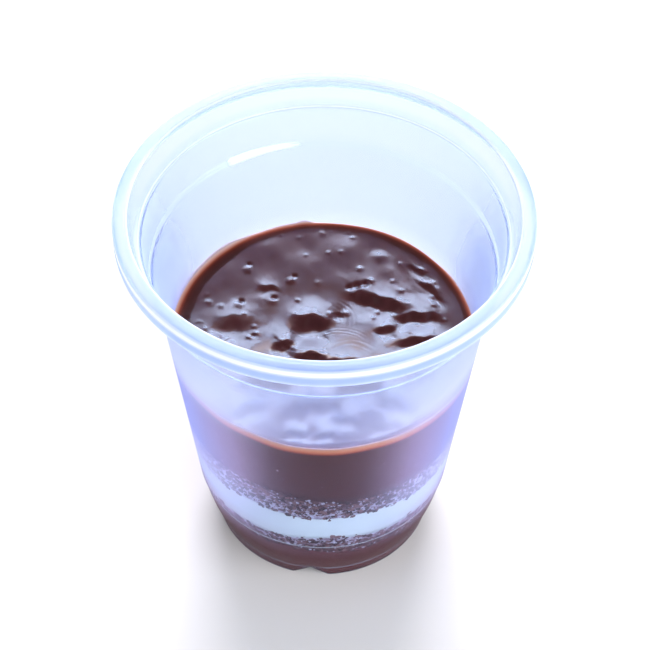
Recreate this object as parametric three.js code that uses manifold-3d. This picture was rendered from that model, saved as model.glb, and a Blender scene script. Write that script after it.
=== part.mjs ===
// A hazelnut chocolate sundae, set in layers in a clear tapered cup.
// Millimetres, +Z up. The cup stands on Z = 0 with its axis on the Z axis, and its front faces -Y.
// An azimuth is counted from the front, -Y, towards +X.

import * as THREE from 'three';
import { mergeVertices } from 'three/addons/utils/BufferGeometryUtils.js';
import Module from 'manifold-3d';

// Fineness of the round pieces
const SEGMENTS = 60;
const CURVE_STEPS = 4;

// Cup: overall sizes
const CUP_HEIGHT = 104;
const WALL = 0.6;
const GAP = 0.3;

// Cup: rim, with a flat top and a skirt turned down outside it
const RIM_RADIUS = 47.5;
const RIM_ROUNDING = 1.1;
const MOUTH_RADIUS = 44.1;
const MOUTH_ROUNDING = 0.5;
const SKIRT_DEPTH = 4.8;
const SKIRT_WALL = 0.7;
const SKIRT_EDGE = 0.2;

// Cup: the two ledges inside the mouth, as depth below the rim and inner radius
const UPPER_LEDGE_DEPTH = 6.5;
const UPPER_LEDGE_OUTER = 42.3;
const UPPER_LEDGE_INNER = 41.3;
const LEDGE_DROP = 0.7;
const LOWER_LEDGE_DEPTH = 16.6;
const LOWER_LEDGE_OUTER = 40.3;

// Cup: tapered wall, flared a little under the lower ledge
const WALL_RADIUS = 36.7;
const WALL_RADIUS_HEIGHT = 60.8;
const WALL_TAPER = 0.108;
const FLARE = 0.5;
const FLARE_START = 66;

// Cup: fine ring low on the wall, and the curved corner under it
const RING_HEIGHT = 17.8;
const RING_STEP = 0.3;
const CORNER_RADIUS = 60;

// Cup: standing ring with a pushed-up floor and V-shaped grooves across it
const FOOT_RADIUS = 28.05;
const FOOT_HEIGHT = 3.5;
const FOOT_WIDTH = 4.6;
const FOOT_EDGE = 0.6;
const GROOVE_COUNT = 4;
const GROOVE_AZIMUTH = -6;
const GROOVE_WIDTH = 9;
const GROOVE_HEIGHT = 3.4;
const GROOVE_INNER_RADIUS = 22.4;
const GROOVE_OUTER_RADIUS = 31;

// Layers: heights of the surfaces between them. Each waves round the cup, with `tilt` millimetres
// towards `tiltAzimuth`, `sag` for two low sides, and `ripple` for small lobes turned by `phase`.
const BASE_TOP = { level: 15.4, tilt: 2.2, tiltAzimuth: -90, sag: 0.2, ripple: 0.35, lobes: 9, phase: 200 };
const CREAM_FLOOR = { level: 20.4, tilt: 0.3, tiltAzimuth: 30, sag: 1.6, ripple: 0.5, lobes: 8, phase: 70 };
const CREAM_TOP = { level: 32, tilt: 0.8, tiltAzimuth: -60, sag: 0.3, ripple: 0.7, lobes: 7, phase: 300 };
const MOUSSE_FLOOR = { level: 40.2, tilt: 2.4, tiltAzimuth: -70, sag: 0, ripple: 0.8, lobes: 5, phase: 225 };
const LAYER_RINGS = [0, 0.4, 0.75, 1];
const LAYER_ROWS = [0.5];
const BASE_ROWS = [0.12, 0.19, 0.55];

// Hazelnut chocolate: its level, and the shallow bowl that it forms, lowest at `BOWL_CENTRE` on Y
const SURFACE_LEVEL = 61.3;
const BOWL_CENTRE = 8;
const BOWL_DEPTH = 1.6;
const BOWL_REACH = 30;
const BOWL_SIDE_CURVE = 0.001;

// Hazelnut chocolate: its edge drawn up towards the wall, and the film that it leaves on the wall
const EDGE_RISE = 0.5;
const EDGE_START = 0.9;
const FILM_HEIGHT = 64.1;
const FILM_LEAN = 0.9;
const FILM_START = 0.985;
const SURFACE_RINGS = 20;
const RINGS_END = 0.95;

// Hazelnut chocolate: slow swells of the whole surface, as height and wavelength
const SWELL_HEIGHT = 0.1;
const SWELL_LENGTH_X = 19;
const SWELL_LENGTH_Y = 14;

// Hazelnut chocolate: waves left by the spoon. Each crest has its place, half-width, slant and
// bend. It rises over a length `back` behind it, and falls from `rise` above to `drop` below the
// surface over a length `front` before it, and the trough levels out beyond that.
const TROUGH_REACH = 2.6;
const WAVES = [
  // The dome in the middle, and the crests and knolls right of it
  { x: -2.8, y: 6.2, width: 4.6, slant: 0, bend: 0.7, rise: 0.9, drop: 0.8, front: 5, back: 6.5 },
  { x: 13.2, y: 12.4, width: 5.8, slant: -0.36, bend: 0, rise: 0.6, drop: 0.5, front: 4, back: 6 },
  { x: 22.6, y: 7, width: 4.4, slant: 0, bend: 0.2, rise: 0.4, drop: 0.4, front: 2.3, back: 4 },
  { x: 15.1, y: 2.1, width: 2.4, slant: 0, bend: 0.4, rise: 0.4, drop: 0.4, front: 2.3, back: 4 },
  { x: 22, y: -1, width: 5, slant: 0.1, bend: 0, rise: 0.4, drop: 0.4, front: 2.6, back: 3 },
  // The crests in front of the dome, and those left of it
  { x: -3.2, y: -6, width: 3.8, slant: 0, bend: 0.8, rise: 0.5, drop: 0.5, front: 3, back: 5 },
  { x: 4.6, y: -7.8, width: 3.8, slant: 0, bend: 0.3, rise: 0.5, drop: 0.5, front: 3, back: 4 },
  { x: -9.8, y: -2.2, width: 2.3, slant: 0, bend: 0.7, rise: 0.5, drop: 0.5, front: 3.2, back: 3.5 },
  { x: -21.4, y: 5.4, width: 4.4, slant: 0, bend: 0.3, rise: 0.5, drop: 0.6, front: 4, back: 5 },
  { x: -14.3, y: 14.8, width: 2.8, slant: -0.1, bend: 0.3, rise: 0.3, drop: 0.3, front: 1.8, back: 4.5 },
  // The low ones by the wall, at the back right and the far left
  { x: 23.2, y: 21.8, width: 2.3, slant: -0.5, bend: 0, rise: 0.3, drop: 0.3, front: 1.6, back: 2.5 },
  { x: 26.3, y: 15.6, width: 2.8, slant: -1, bend: 0, rise: 0.4, drop: 0.4, front: 2.2, back: 2.2 },
  { x: -28, y: -3, width: 3.6, slant: 0.4, bend: 0, rise: 0.4, drop: 0.4, front: 2.6, back: 4 },
  // The nearest ones, partly behind the rim
  { x: -13, y: -13.5, width: 4.6, slant: 0.1, bend: 0.6, rise: 0.6, drop: 0.6, front: 3.6, back: 5 },
  { x: 9, y: -15, width: 5, slant: -0.1, bend: 0.5, rise: 0.6, drop: 0.6, front: 3.4, back: 5 },
  { x: 24, y: -12, width: 4.2, slant: 0.3, bend: 0.3, rise: 0.5, drop: 0.5, front: 3, back: 4.5 },
  { x: -1, y: -21, width: 5.4, slant: 0, bend: 0.5, rise: 0.6, drop: 0.5, front: 3.2, back: 5 },
  { x: 16.3, y: -20.5, width: 3.6, slant: -0.2, bend: 0.3, rise: 0.5, drop: 0.5, front: 3, back: 4 },
  { x: 5, y: -25.6, width: 2.6, slant: 0, bend: 0.3, rise: 0.4, drop: 0.3, front: 2, back: 3.5 },
  { x: -6.3, y: -30, width: 2.4, slant: 0, bend: 0.2, rise: 0.3, drop: 0.3, front: 1.8, back: 3 },
  { x: 0.2, y: -30.4, width: 1.7, slant: 0, bend: 0.2, rise: 0.3, drop: 0.3, front: 1.6, back: 2.5 },
  { x: -18, y: -23, width: 4, slant: 0.4, bend: 0.3, rise: 0.4, drop: 0.4, front: 2.6, back: 4 },
];

// Colours and finishes
const CLEAR_PLASTIC = { color: 0xdbe7fa, roughness: 0.15, metalness: 0, transparent: true, opacity: 0.35 };
const GLOSSY_CHOCOLATE = { color: 0x43261f, roughness: 0.25, metalness: 0 };
const DARK_CHOCOLATE = { color: 0x4a3029, roughness: 0.45, metalness: 0 };
const CAKE_CRUMB = { color: 0x3a221b, roughness: 0.9, metalness: 0 };
const WHITE_CREAM = { color: 0xf1f0ec, roughness: 0.5, metalness: 0 };

const wasm = await Module();
wasm.setup();

const radians = THREE.MathUtils.degToRad;
const lerp = THREE.MathUtils.lerp;
const smoothstep = THREE.MathUtils.smoothstep;

// Outside radius of the cup's wall at height z, from the foot up to the lower ledge
function outsideRadius(z) {
  if (z < FOOT_HEIGHT) {
    return FOOT_RADIUS;
  }
  const straight = WALL_RADIUS + WALL_TAPER * (z - WALL_RADIUS_HEIGHT);
  if (z < RING_HEIGHT) {
    const drop = RING_HEIGHT - z;
    return straight - RING_STEP - (CORNER_RADIUS - Math.sqrt(CORNER_RADIUS ** 2 - drop ** 2));
  }
  const flare = Math.max(0, z - FLARE_START) / (CUP_HEIGHT - LOWER_LEDGE_DEPTH - FLARE_START);
  return straight + FLARE * flare ** 2;
}

// Radius that the filling reaches at height z, a gap short of the cup's wall
function fillRadius(z) {
  return outsideRadius(z) - WALL - GAP;
}

// Points of a quarter turn, from one compass angle to another, round a centre
function arc(centreX, centreZ, radius, from, to, steps) {
  const points = [];
  for (let i = 0; i <= steps; i += 1) {
    const angle = radians(lerp(from, to, i / steps));
    points.push(new THREE.Vector2(centreX + radius * Math.cos(angle), centreZ + radius * Math.sin(angle)));
  }
  return points;
}

// Points up the wall, from the foot to the lower ledge, set in from the outside by `inset`
function wallPoints(inset) {
  const ledgeFoot = CUP_HEIGHT - LOWER_LEDGE_DEPTH - LEDGE_DROP;
  const nudge = 0.25;
  const heights = [];
  for (let i = 0; i < CURVE_STEPS; i += 1) {
    heights.push(lerp(FOOT_HEIGHT + nudge, RING_HEIGHT - nudge, i / (CURVE_STEPS - 1)));
  }
  heights.push(RING_HEIGHT + nudge, FLARE_START, lerp(FLARE_START, ledgeFoot, 0.6), ledgeFoot);
  return heights.map((z) => new THREE.Vector2(outsideRadius(z) - inset, z));
}

// Points up the two ledges, set out from the inner surface by `outset`
function ledgePoints(outset) {
  const upper = CUP_HEIGHT - UPPER_LEDGE_DEPTH;
  const lower = CUP_HEIGHT - LOWER_LEDGE_DEPTH;
  return [
    new THREE.Vector2(LOWER_LEDGE_OUTER + outset, lower - outset / 2),
    new THREE.Vector2(UPPER_LEDGE_INNER + outset, upper - LEDGE_DROP - outset / 2),
    new THREE.Vector2(UPPER_LEDGE_OUTER + outset, upper - outset / 2),
  ];
}

// Points under the floor and round the standing ring, set in from the outside by `inset`
function footPoints(inset) {
  const floor = FOOT_HEIGHT + inset;
  const outer = FOOT_RADIUS - inset;
  const inner = FOOT_RADIUS - FOOT_WIDTH + inset;
  return [
    new THREE.Vector2(0, floor),
    new THREE.Vector2(inner - FOOT_EDGE, floor),
    new THREE.Vector2(inner, inset + FOOT_EDGE),
    new THREE.Vector2(inner + FOOT_EDGE, inset),
    new THREE.Vector2(outer - FOOT_EDGE, inset),
    new THREE.Vector2(outer, inset + FOOT_EDGE),
    new THREE.Vector2(outer, FOOT_HEIGHT - FOOT_EDGE / 2),
  ];
}

// Points round the rim, from under its flat top, down and up the skirt, to the axis
function rimPoints() {
  const skirtInner = RIM_RADIUS - SKIRT_WALL;
  const skirtFoot = CUP_HEIGHT - SKIRT_DEPTH;
  const underside = CUP_HEIGHT - SKIRT_WALL;
  return [
    new THREE.Vector2(MOUTH_RADIUS + WALL, underside - MOUTH_ROUNDING),
    new THREE.Vector2(MOUTH_RADIUS + WALL + MOUTH_ROUNDING, underside),
    new THREE.Vector2(skirtInner - MOUTH_ROUNDING, underside),
    new THREE.Vector2(skirtInner, underside - MOUTH_ROUNDING),
    new THREE.Vector2(skirtInner, skirtFoot + SKIRT_EDGE),
    new THREE.Vector2(skirtInner + SKIRT_EDGE, skirtFoot),
    new THREE.Vector2(RIM_RADIUS - SKIRT_EDGE, skirtFoot),
    new THREE.Vector2(RIM_RADIUS, skirtFoot + SKIRT_EDGE),
    ...arc(RIM_RADIUS - RIM_ROUNDING, CUP_HEIGHT - RIM_ROUNDING, RIM_ROUNDING, 0, 90, 3),
    new THREE.Vector2(0, CUP_HEIGHT),
  ];
}

// Points round the mouth's inner edge and up through the open top, to the axis
function mouthPoints() {
  const centre = CUP_HEIGHT - MOUTH_ROUNDING;
  const above = CUP_HEIGHT + 1;
  return [
    ...arc(MOUTH_RADIUS + MOUTH_ROUNDING, centre, MOUTH_ROUNDING, 180, 90, 2),
    new THREE.Vector2(MOUTH_RADIUS + MOUTH_ROUNDING, above),
    new THREE.Vector2(0, above),
  ];
}

// A geometry with only positions, its equal corners merged and its flat faces dropped
function weld(geometry) {
  geometry.deleteAttribute('normal');
  geometry.deleteAttribute('uv');
  const merged = mergeVertices(geometry);
  const faces = [];
  const index = merged.index.array;
  for (let i = 0; i < index.length; i += 3) {
    const [a, b, c] = index.slice(i, i + 3);
    if (a !== b && b !== c && c !== a) {
      faces.push(a, b, c);
    }
  }
  merged.setIndex(faces);
  return merged;
}

// An outline turned round the Z axis
function turned(points) {
  const geometry = new THREE.LatheGeometry(points, SEGMENTS);
  return geometry.rotateX(Math.PI / 2);
}

function toSolid(geometry) {
  const welded = weld(geometry);
  const vertProperties = Float32Array.from(welded.attributes.position.array);
  const triVerts = Uint32Array.from(welded.index.array);
  return new wasm.Manifold(new wasm.Mesh({ numProp: 3, vertProperties, triVerts }));
}

function toGeometry(solid) {
  const mesh = solid.getMesh();
  const geometry = new THREE.BufferGeometry();
  geometry.setAttribute('position', new THREE.BufferAttribute(mesh.vertProperties, 3));
  geometry.setIndex(new THREE.BufferAttribute(mesh.triVerts, 1));
  geometry.computeVertexNormals();
  return geometry;
}

// One V-shaped bar across the standing ring at an azimuth, grown on all sides by `growth`
function grooveBar(azimuth, growth) {
  const slope = Math.atan2(GROOVE_HEIGHT, GROOVE_WIDTH / 2);
  const apex = GROOVE_HEIGHT + growth / Math.cos(slope);
  const sink = 1;
  const halfWidth = ((apex + sink) * GROOVE_WIDTH) / 2 / GROOVE_HEIGHT;
  const outline = new THREE.Shape([
    new THREE.Vector2(-halfWidth, -sink),
    new THREE.Vector2(halfWidth, -sink),
    new THREE.Vector2(0, apex),
  ]);
  const inner = GROOVE_INNER_RADIUS - growth;
  const bar = new THREE.ExtrudeGeometry(outline, { depth: GROOVE_OUTER_RADIUS - inner, bevelEnabled: false });
  bar.translate(0, 0, inner);
  bar.rotateX(Math.PI / 2);
  bar.rotateZ(radians(azimuth));
  return toSolid(bar);
}

// The solid less its grooves, each grown on all sides by `growth`
function withGrooves(solid, growth) {
  let cut = solid;
  for (let i = 0; i < GROOVE_COUNT; i += 1) {
    cut = cut.subtract(grooveBar(GROOVE_AZIMUTH + (360 * i) / GROOVE_COUNT, growth));
  }
  return cut;
}

function cupGeometry() {
  const body = turned([...footPoints(0), ...wallPoints(0), ...ledgePoints(WALL), ...rimPoints()]);
  const cavity = turned([...footPoints(WALL), ...wallPoints(WALL), ...ledgePoints(0), ...mouthPoints()]);
  return toGeometry(withGrooves(toSolid(body), 0).subtract(withGrooves(toSolid(cavity), WALL)));
}

// Height of the surface between two layers, at a share of the radius and an azimuth in radians
function layerHeight(surface, share, azimuth) {
  const tilt = surface.tilt * Math.cos(azimuth - radians(surface.tiltAzimuth));
  const sag = surface.sag * Math.cos(2 * azimuth);
  const ripple = surface.ripple * Math.sin(surface.lobes * azimuth + radians(surface.phase));
  return surface.level + share * tilt + share ** 2 * (sag + ripple);
}

// Height along an outline whose points run outwards from the axis
function heightAlong(points, radius) {
  for (let i = 1; i < points.length; i += 1) {
    const [from, to] = [points[i - 1], points[i]];
    if (radius <= to.x) {
      return lerp(from.y, to.y, (radius - from.x) / (to.x - from.x));
    }
  }
  return points.at(-1).y;
}

// Height that one spoon wave adds at a point
function waveHeight(wave, x, y) {
  const aside = (x - wave.x) / wave.width;
  const beyond = y - (wave.y + wave.slant * (x - wave.x) - wave.bend * aside ** 2);
  const fade = Math.exp(-(Math.abs(aside) ** 3));
  if (beyond > 0) {
    return fade * wave.rise * (1 - smoothstep(beyond, 0, wave.back));
  }
  const fall = (wave.rise + wave.drop) * smoothstep(-beyond, 0, wave.front);
  const levelling = wave.drop * smoothstep(-beyond, wave.front, TROUGH_REACH * wave.front);
  return fade * (wave.rise - fall + levelling);
}

// Height of the hazelnut chocolate's top, with its waves and its film on the wall
function surfaceHeight(share, azimuth) {
  const radius = share * fillRadius(SURFACE_LEVEL);
  const x = radius * Math.sin(azimuth);
  const y = -radius * Math.cos(azimuth);
  const away = Math.min(1, Math.abs(y - BOWL_CENTRE) / BOWL_REACH);
  const bowl = (BOWL_DEPTH / 2) * (1 - Math.cos(Math.PI * away)) + (BOWL_SIDE_CURVE / 2) * x ** 2;
  const swellX = Math.sin((2 * Math.PI * x) / SWELL_LENGTH_X);
  const swellY = Math.cos((2 * Math.PI * y) / SWELL_LENGTH_Y);
  const edge = Math.max(0, share - EDGE_START) / (1 - EDGE_START);
  let height = SURFACE_LEVEL + bowl + SWELL_HEIGHT * swellX * swellY + EDGE_RISE * edge ** 2;
  for (const wave of WAVES) {
    height += waveHeight(wave, x, y);
  }
  const film = FILM_HEIGHT + FILM_LEAN * Math.cos(azimuth);
  return lerp(height, film, smoothstep(share, FILM_START, 1));
}

// A round layer between two surfaces, its side following the cup's wall. It starts as a turned
// outline in shares of the radius and of the layer's depth, and each corner is then moved to its place.
function layerGeometry(floor, top, floorRings, rows, topRings) {
  const outline = [
    ...floorRings.map((share) => new THREE.Vector2(share, 0)),
    ...rows.map((row) => new THREE.Vector2(1, row)),
    ...topRings.toReversed().map((share) => new THREE.Vector2(share, 1)),
  ];
  const geometry = turned(outline);
  const position = geometry.attributes.position;
  for (let i = 0; i < position.count; i += 1) {
    const x = position.getX(i);
    const y = position.getY(i);
    const share = Math.hypot(x, y);
    const azimuth = Math.atan2(x, -y);
    const z = lerp(floor(share, azimuth), top(share, azimuth), position.getZ(i));
    const radius = share * fillRadius(z);
    position.setXYZ(i, radius * Math.sin(azimuth), -radius * Math.cos(azimuth), z);
  }
  return weld(geometry);
}

// A layer that lies between two of the waving surfaces, a gap above the one below
function middleLayer(below, above) {
  return layerGeometry(
    (share, azimuth) => layerHeight(below, share, azimuth) + GAP,
    (share, azimuth) => layerHeight(above, share, azimuth),
    LAYER_RINGS,
    LAYER_ROWS,
    LAYER_RINGS,
  );
}

// The lowest layer, which also fills the standing ring between its grooves
function baseLayer() {
  const bed = footPoints(WALL + GAP).slice(0, -1);
  const reach = bed.at(-1).x;
  const floor = (share) => heightAlong(bed, share * reach);
  const top = (share, azimuth) => layerHeight(BASE_TOP, share, azimuth);
  const layer = layerGeometry(floor, top, bed.map((point) => point.x / reach), BASE_ROWS, LAYER_RINGS);
  return toGeometry(withGrooves(toSolid(layer), WALL + GAP));
}

// The top layer, with close rings for its waves and for its drawn-up edge
function hazelnutChocolate() {
  const step = RINGS_END / (SURFACE_RINGS - 1);
  const rings = Array.from({ length: SURFACE_RINGS }, (_, i) => step * i);
  rings.push(FILM_START, 1);
  const floor = (share, azimuth) => layerHeight(MOUSSE_FLOOR, share, azimuth) + GAP;
  return layerGeometry(floor, surfaceHeight, LAYER_RINGS, LAYER_ROWS, rings);
}

const sundae = new THREE.Group();

function addPiece(name, geometry, finish) {
  const mesh = new THREE.Mesh(geometry, new THREE.MeshStandardMaterial(finish));
  mesh.name = name;
  mesh.geometry.computeVertexNormals();
  sundae.add(mesh);
}

addPiece('cup', cupGeometry(), CLEAR_PLASTIC);
addPiece('base_chocolate', baseLayer(), DARK_CHOCOLATE);
addPiece('lower_crumb', middleLayer(BASE_TOP, CREAM_FLOOR), CAKE_CRUMB);
addPiece('cream', middleLayer(CREAM_FLOOR, CREAM_TOP), WHITE_CREAM);
addPiece('upper_crumb', middleLayer(CREAM_TOP, MOUSSE_FLOOR), CAKE_CRUMB);
addPiece('hazelnut_chocolate', hazelnutChocolate(), GLOSSY_CHOCOLATE);

export default sundae;
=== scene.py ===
"""The look of a hazelnut chocolate sundae in its clear cup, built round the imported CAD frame.

Sizes are millimetres, as in the CAD source, and turn into metres where a mesh is made. An azimuth
is counted from the front, -Y, towards +X.
"""

import math
import random
from itertools import combinations
from typing import NamedTuple

import bpy
import numpy as np
from mathutils import Euler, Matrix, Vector


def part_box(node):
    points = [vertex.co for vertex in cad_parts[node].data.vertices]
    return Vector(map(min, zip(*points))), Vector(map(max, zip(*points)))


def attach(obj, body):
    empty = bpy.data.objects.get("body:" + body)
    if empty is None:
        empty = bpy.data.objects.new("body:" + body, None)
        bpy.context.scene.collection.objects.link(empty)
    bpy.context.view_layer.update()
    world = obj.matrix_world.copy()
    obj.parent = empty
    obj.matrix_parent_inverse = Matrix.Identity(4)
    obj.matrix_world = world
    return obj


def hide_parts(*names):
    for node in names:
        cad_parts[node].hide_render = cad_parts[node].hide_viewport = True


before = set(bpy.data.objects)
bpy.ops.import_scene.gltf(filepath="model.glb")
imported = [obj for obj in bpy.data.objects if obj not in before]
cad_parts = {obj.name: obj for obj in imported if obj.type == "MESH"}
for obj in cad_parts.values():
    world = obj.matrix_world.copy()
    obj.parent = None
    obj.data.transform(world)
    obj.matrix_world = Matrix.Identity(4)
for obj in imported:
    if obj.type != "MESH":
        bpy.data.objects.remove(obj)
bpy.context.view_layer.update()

MM = 0.001
TAU = 2 * math.pi

# Photograph's frame, and the camera fitted to it: distance from the centre of the rim, how far
# the camera stands above the rim's plane, and how much further down it looks
PHOTO_WIDTH = 650
FOCAL_PIXELS = 1787.75
CAMERA_DISTANCE = 400
CAMERA_ELEVATION = 44.76
CAMERA_DROP = 3.70
CAMERA_ROLL = 0.39
AXIS_COLUMN = 323.8
SENSOR_WIDTH = 36

# Cup, as in the CAD source, but with finer roundings and softer steps
CUP_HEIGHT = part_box("cup")[1].z / MM
RIM_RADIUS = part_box("cup")[1].x / MM
WALL = 0.6
RIM_ROUNDING = 1.1
MOUTH_RADIUS = 44.1
MOUTH_ROUNDING = 0.5
SKIRT_DEPTH = 4.8
SKIRT_WALL = 0.7
SKIRT_INNER_ROUNDING = 0.3
SKIRT_OUTER_ROUNDING = 0.35
UNDERSIDE_ROUNDING = 0.5
UPPER_LEDGE_DEPTH = 6.5
UPPER_LEDGE_OUTER = 42.3
UPPER_LEDGE_INNER = 41.3
LEDGE_DROP = 0.7
LEDGE_ROUNDING = 0.3
LOWER_LEDGE_DEPTH = 16.6
LOWER_LEDGE_OUTER = 40.3
LOWER_LEDGE_ROUNDING = 0.5
WALL_RADIUS = 36.7
WALL_RADIUS_HEIGHT = 60.8
WALL_TAPER = 0.108
FLARE = 0.5
FLARE_START = 66
RING_HEIGHT = 17.8
RING_STEP = 0.3
RING_SOFTNESS = 0.2
CORNER_RADIUS = 60
FOOT_RADIUS = 28.05
FOOT_HEIGHT = 3.5
FOOT_SOFTNESS = 0.25
FOOT_WIDTH = 4.6
FOOT_EDGE = 0.6
FOOT_ROUNDING = 0.7
FLOOR_ROUNDING = 0.5
GROOVE_COUNT = 4
GROOVE_AZIMUTH = -6
GROOVE_WIDTH = 9
GROOVE_HEIGHT = 3.4
GROOVE_INNER_RADIUS = 22.4
GROOVE_INNER_SLOPE = 1

# How far from a corner its rounding starts, over the rounding's radius
ROUNDING_REACH = 1.6

# Fineness of the cup: segments round it, and extra rings between the ledges, as shares of the way
# up, so that the painted highlight streak there has a smooth edge
CUP_SEGMENTS = 256
STREAK_RINGS = (0.07, 0.1, 0.14, 0.2)


class Surface(NamedTuple):
    """Surface between two layers: its level, how much it rises towards an azimuth and sags to both
    sides, and its ripple at the wall, with the ripple's lobes and phase."""

    level: float
    tilt: float
    tilt_azimuth: float
    sag: float
    ripple: float
    lobes: int
    phase: float


# Layers, as in the CAD source
BASE_TOP = Surface(level=15.4, tilt=2.2, tilt_azimuth=-90, sag=0.2, ripple=0.35, lobes=9, phase=200)
CREAM_FLOOR = Surface(level=20.4, tilt=0.3, tilt_azimuth=30, sag=1.6, ripple=0.5, lobes=8, phase=70)
CREAM_TOP = Surface(level=32.0, tilt=0.8, tilt_azimuth=-60, sag=0.3, ripple=0.7, lobes=7, phase=300)
MOUSSE_FLOOR = Surface(
    level=40.2, tilt=2.4, tilt_azimuth=-70, sag=0.0, ripple=0.8, lobes=5, phase=225
)

# Hazelnut chocolate's top, as in the CAD source: a shallow bowl that rises at the wall
SURFACE_LEVEL = 61.3
BOWL_CENTRE = 8
BOWL_DEPTH = 1.6
BOWL_REACH = 30
BOWL_SIDE_CURVE = 0.0010
MENISCUS_RISE = 0.5
MENISCUS_START = 0.9
SWELL_HEIGHT = 0.1
SWELL_LENGTH_X = 19
SWELL_LENGTH_Y = 14

# How much flatter the relief is at the wall, and the share of the radius where that starts
RELIEF_FADE = 0.7
RELIEF_FADE_START = 0.95

# Film that the chocolate leaves on the wall: the height of its edge, how much that rises to the
# front and to the left, the height over which the film thins out, and its uneven edge
FILM_EDGE = 64.1
FILM_EDGE_LEAN = 0.9
FILM_EDGE_SIDE_LEAN = 1.3
FILM_START = 0.985
FILM_FADE = 3.3
FILM_RIPPLE = 0.22
FILM_RIPPLE_LOBES = range(2, 18)
FILM_SEED = 5

# Dull ring of chocolate drawn up towards the wall, wider at the left, and its ripples: size, lobes
# and phase
FILM_WIDTH = 2.2
FILM_WIDTH_LEFT = 1.5
FILM_LEFT_AZIMUTH = 260
FILM_LEFT_SPREAD = 35
FILM_WIDTH_RIPPLES = ((0.3, 5, 1), (0.2, 13, 0))

# Blob of chocolate on the wall at the back
BLOB_AZIMUTH = 188
BLOB_SPREAD = 3
BLOB_RISE = 0.7

# How far the filling reaches into the wall's thickness, so that no air gap shows
WALL_OVERLAP = 0.25

# Fineness of the layers: the innermost ring's share of the radius, rings across a hidden floor or
# top, rows up a side, and segments round it
INNERMOST = 0.0001
COARSE_RINGS = [INNERMOST, 0.3, 0.6, 0.85, 1.0]
SIDE_ROWS = [i / 8 for i in range(1, 8)]
SIDE_SEGMENTS = 360

# The same for the base chocolate over the grooves, and for the hazelnut chocolate, whose rings and
# rows lie closest where its film begins
BASE_ROWS = [0.1, 0.15, 0.2, *SIDE_ROWS[2:]]
TOP_RINGS = [*np.linspace(INNERMOST, 0.975, 132), 0.98, 0.985, 0.99, 0.994, 0.997, 1.0]
TOP_ROWS = [*SIDE_ROWS[:-1], 0.82, 0.85, 0.87, 0.89, 0.91, 0.925, 0.94, 0.955, 0.97, 0.985]
TOP_SEGMENTS = 624

# How close to the wall a point or a face counts as lying on it, and how level the normal of a
# steep face is at most
POINT_ON_WALL = 0.02
FACE_ON_WALL = 0.05
STEEP_NORMAL = 0.5


class Wave(NamedTuple):
    """Wave that the spoon left: place of its crest, half its width, slant and bend, rise behind
    the crest and drop in front of it, and how long its front and its back are."""

    x: float
    y: float
    half_width: float
    slant: float
    bend: float
    rise: float
    drop: float
    front: float
    back: float


# Close to those in the CAD source
WAVES = (
    Wave(-2.8, 6.2, 4.2, 0, 0.3, 0.89, 0.81, 4.5, 8),
    Wave(13.6, 12.4, 6.8, -0.36, 0, 1.0, 0.5, 4, 12),
    Wave(22.6, 7, 5, 0.05, 0.2, 0.78, 0.34, 2.6, 7),
    Wave(15.1, 3, 2.3, 0, 0.4, 0.43, 0.36, 2.3, 4.5),
    Wave(22, -1, 5, 0.1, 0, 0.44, 0.44, 2.6, 5),
    Wave(-3.2, -6, 3.8, 0, 0.8, 0.48, 0.51, 3, 6),
    Wave(4.6, -7.8, 3.8, 0, 0.3, 0.5, 0.47, 3, 6),
    Wave(-9.6, -2, 2.2, 0, 0.5, 0.5, 0.54, 3.2, 5),
    Wave(-21.4, 6, 4.4, 0, 0.3, 0.3, 0.55, 5.2, 5),
    Wave(-14.5, 8.5, 3.4, 0, 0.3, 0.09, 0.13, 6, 5),
    Wave(-14, 16, 2.3, -0.1, 0.3, 0.32, 0.22, 1.8, 4.5),
    Wave(23.2, 21.8, 2.3, -0.5, 0, 0.2, 0.22, 1.8, 3),
    Wave(26.3, 15.6, 2.8, -1, 0, 0.28, 0.3, 2.4, 3),
    Wave(-28, -3, 3.6, 0.4, 0, 0.44, 0.44, 2.6, 4),
    Wave(-13, -13.5, 4.6, 0.1, 0.6, 0.61, 0.61, 3.6, 6),
    Wave(9, -15, 5, -0.1, 0.5, 0.58, 0.58, 3.4, 6),
    Wave(24, -12, 4.2, 0.3, 0.3, 0.51, 0.51, 3, 5),
    Wave(-1, -21, 5.4, 0, 0.5, 0.58, 0.51, 3.2, 6),
    Wave(16.3, -20.5, 3.6, -0.2, 0.3, 0.54, 0.48, 3, 5.5),
    Wave(5, -25.6, 2.6, 0, 0.3, 0.37, 0.31, 2, 3.5),
    Wave(-6.3, -30, 2.4, 0, 0.2, 0.33, 0.28, 1.8, 3),
    Wave(0.2, -30.4, 1.7, 0, 0.2, 0.3, 0.25, 1.6, 3),
    Wave(-18, -23, 4, 0.4, 0.3, 0.44, 0.44, 2.6, 4),
)

# How steeply a wave fades to its sides, how hollow its back is, and where the trough before it
# ends, over the length of its front
WAVE_SIDE_POWER = 3
WAVE_BACK_POWER = 1.6
WAVE_TROUGH_END = 2.6

# How far the waves' outlines wander, and the sines that move them along X and along Y: share of
# that distance, radians a millimetre along X and along Y, and phase
WANDER = 0.28
WANDER_X = ((1, 0, 1.1, 0.7), (0.25, 1.9, 2.3, 0))
WANDER_Y = ((1, 1.3, 0, 1.9), (0.25, 2.6, -1.2, 0))

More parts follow.
